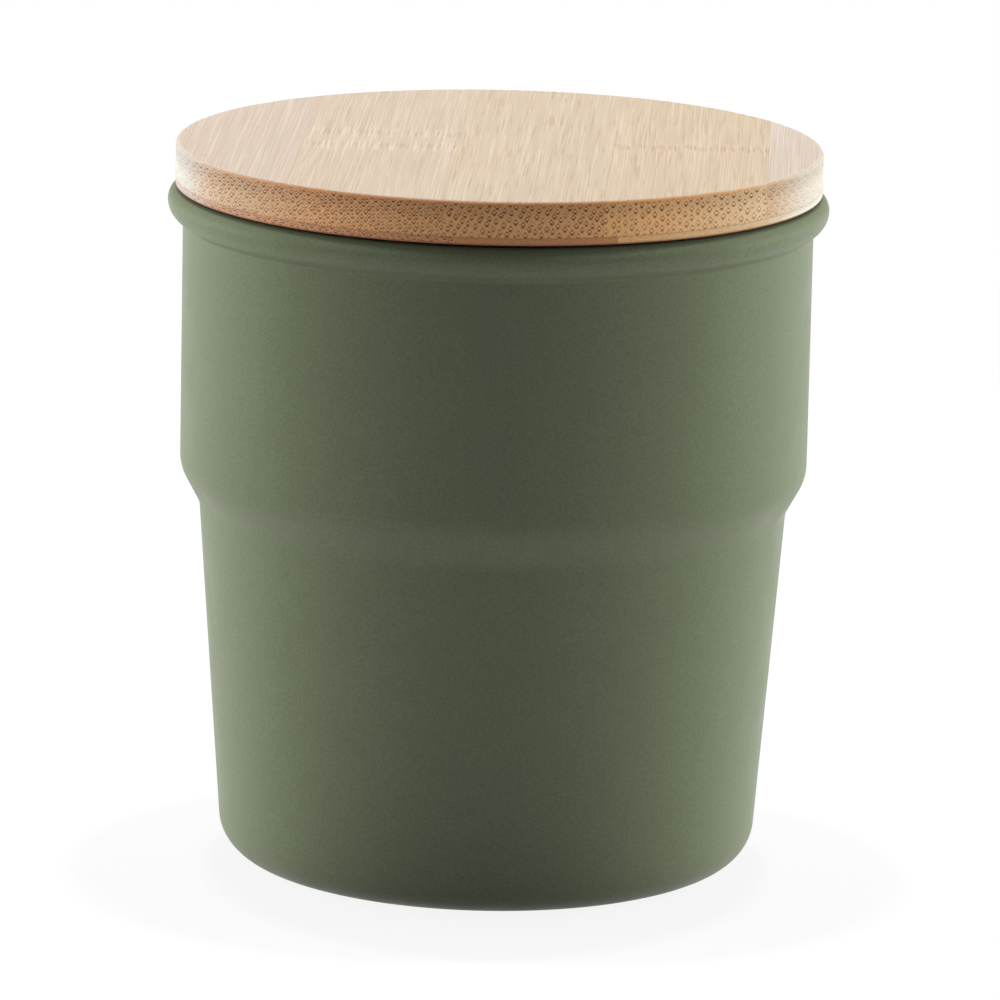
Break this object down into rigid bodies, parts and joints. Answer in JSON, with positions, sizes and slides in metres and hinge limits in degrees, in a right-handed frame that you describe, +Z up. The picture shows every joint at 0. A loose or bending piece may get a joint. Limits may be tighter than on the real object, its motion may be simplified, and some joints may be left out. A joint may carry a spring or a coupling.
{
  "type": "lidded ceramic cup",
  "caption": "Handle-less stepped ceramic cup with a rounded rim bead and a lift-off laminated bamboo lid with a sealed plug.",
  "frame": {"origin": "centre of the foot, on the surface that the cup stands on", "axes": "+Z up along the cup's axis, the way the lid lifts; the lid's bamboo strips and their glue joints run along Y"},
  "size_m": [0.0836, 0.0836, 0.0922],
  "materials": {
    "glaze": "satin sage-green glaze with a fine mottle",
    "bamboo": "sanded bare bamboo",
    "bamboo_core": "sanded bare bamboo, slightly darker",
    "seal": "milky silicone"
  },
  "bodies": {
    "cup": {"cup_body": "glaze"},
    "lid": {"lid_strip_1": "bamboo", "lid_strip_2": "bamboo", "lid_strip_3": "bamboo", "lid_strip_4": "bamboo", "lid_strip_5": "bamboo", "lid_plug_strip_1": "bamboo_core", "lid_plug_strip_2": "bamboo_core", "lid_plug_strip_3": "bamboo_core", "lid_plug_strip_4": "bamboo_core", "lid_plug_strip_5": "bamboo_core", "lid_seal": "seal"}
  },
  "joints": [
    {"name": "lid_lift", "type": "slide", "parent": "cup", "child": "lid", "axis": [0, 0, 1], "range_m": [0, 0.024]}
  ]
}
